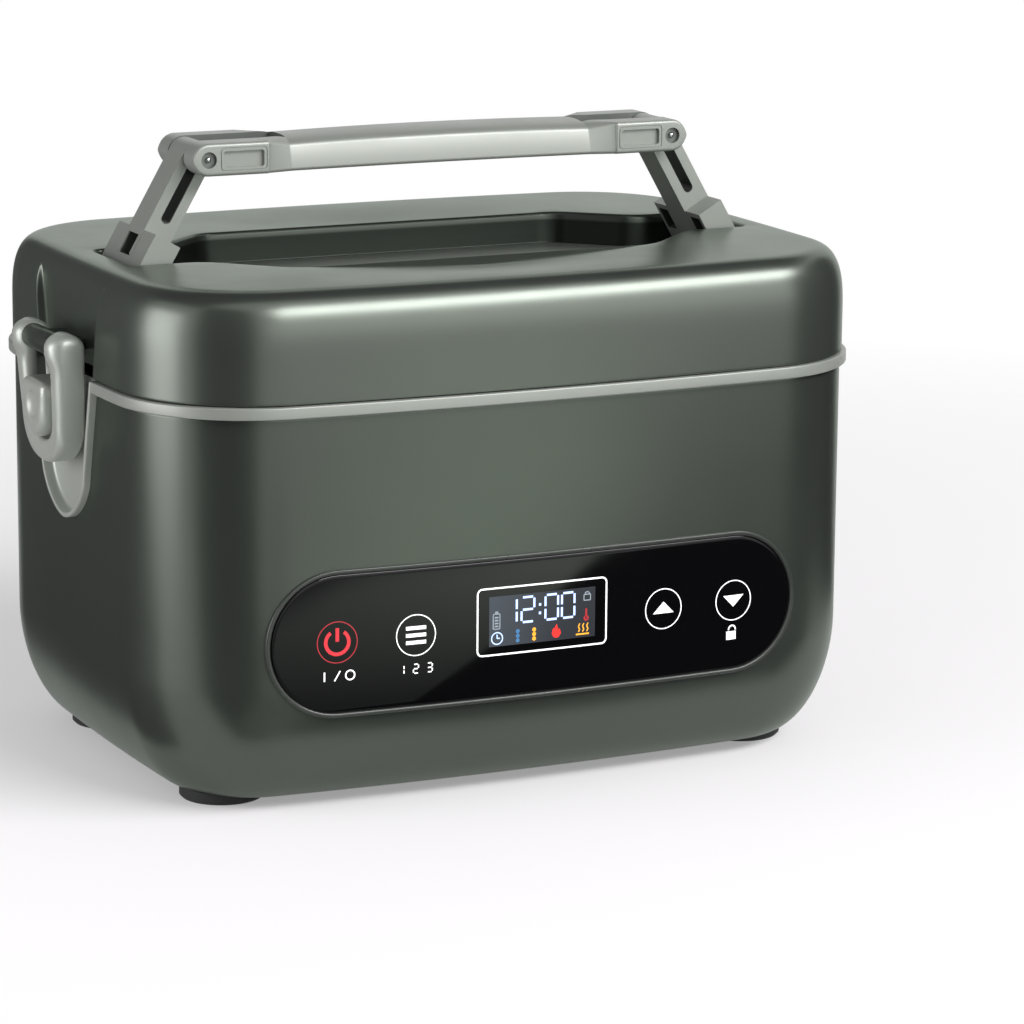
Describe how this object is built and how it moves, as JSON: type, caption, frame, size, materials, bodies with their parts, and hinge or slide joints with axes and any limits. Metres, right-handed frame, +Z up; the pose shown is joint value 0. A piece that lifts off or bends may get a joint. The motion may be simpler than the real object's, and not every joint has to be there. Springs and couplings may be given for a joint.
{
  "type": "electric lunch box",
  "caption": "Portable electric lunch box: heated base with a touch panel, lift-off lid held by side latches, and a fold-down carry handle.",
  "frame": {"origin": "middle of the underside of the four feet, on the table", "axes": "+X to the right seen from the front panel, +Y from the panel towards the back, +Z up"},
  "size_m": [0.2608, 0.1784, 0.1938],
  "materials": {
    "shell_green": "satin",
    "trim_grey": "satin",
    "foot_rubber": "matt",
    "well_coating": "satin non-stick",
    "aluminium": "milled",
    "copper": "foil",
    "felt": "felt",
    "fuse_ceramic": "matt",
    "black_plastic": "matt",
    "battery_wrap": "shrink wrap",
    "board_green": "solder mask",
    "graphite_foam": "foam",
    "panel_black": "mirror gloss",
    "bezel_grey": "satin",
    "wire_red": "smooth",
    "steel": "brushed",
    "liner_grey": "satin",
    "silicone": "matt"
  },
  "bodies": {
    "base": {"outer_shell": "shell_green", "bottom_cover": "shell_green", "cover_screws": "steel", "rubber_feet": "foot_rubber", "rim_band": "trim_grey", "heating_well": "well_coating", "heating_plate": "aluminium", "heater_element": "copper", "insulation_pad": "felt", "thermal_fuse": "fuse_ceramic", "temperature_sensor": "fuse_ceramic", "battery_holder": "black_plastic", "battery_cells": "battery_wrap", "battery_tabs": "steel", "power_board": "board_green", "dc_inlet": "black_plastic", "inlet_contact": "steel", "control_board": "board_green", "board_screws": "steel", "display_module": "black_plastic", "touch_pads": "graphite_foam", "control_panel": "panel_black", "panel_bezel": "bezel_grey", "internal_wires": "wire_red", "food_container": "steel"},
    "lid": {"lid_shell": "shell_green", "lid_inner_panel": "liner_grey", "lid_seal": "silicone", "lid_insulation": "felt", "lid_screws": "steel", "latch_pin_left": "steel", "latch_pin_right": "steel", "pivot_pin_left": "steel", "pivot_pin_right": "steel"},
    "latch_left": {"latch_left": "trim_grey"},
    "latch_right": {"latch_right": "trim_grey"},
    "grip": {"handle_grip": "trim_grey", "grip_pins": "steel"},
    "strut_left": {"handle_strut_left": "trim_grey"},
    "strut_right": {"handle_strut_right": "trim_grey"}
  },
  "joints": [
    {"name": "lid_lift", "type": "slide", "parent": "base", "child": "lid", "axis": [0, 0, 1], "range_m": [0, 0.12]},
    {"name": "latch_left_swing", "type": "hinge", "parent": "lid", "child": "latch_left", "pos_m": [-0.126, 0, 0.1338], "axis": [0, 1, 0], "range_deg": [0, 110]},
    {"name": "latch_right_swing", "type": "hinge", "parent": "lid", "child": "latch_right", "pos_m": [0.126, 0, 0.1338], "axis": [0, -1, 0], "range_deg": [0, 110]},
    {"name": "handle_drop", "type": "slide", "parent": "lid", "child": "grip", "axis": [0, 0, -1], "range_m": [0, 0.0346]},
    {"name": "strut_left_fold", "type": "hinge", "parent": "lid", "child": "strut_left", "pos_m": [-0.0984, 0, 0.153], "axis": [0, 1, 0], "range_deg": [0, 60]},
    {"name": "strut_right_fold", "type": "hinge", "parent": "lid", "child": "strut_right", "pos_m": [0.0984, 0, 0.153], "axis": [0, -1, 0], "range_deg": [0, 60]}
  ],
  "couplings": [
    {"joint": "strut_left_fold", "follows": "handle_drop", "rad_per_m": 30.23},
    {"joint": "strut_right_fold", "follows": "handle_drop", "rad_per_m": 30.23}
  ]
}
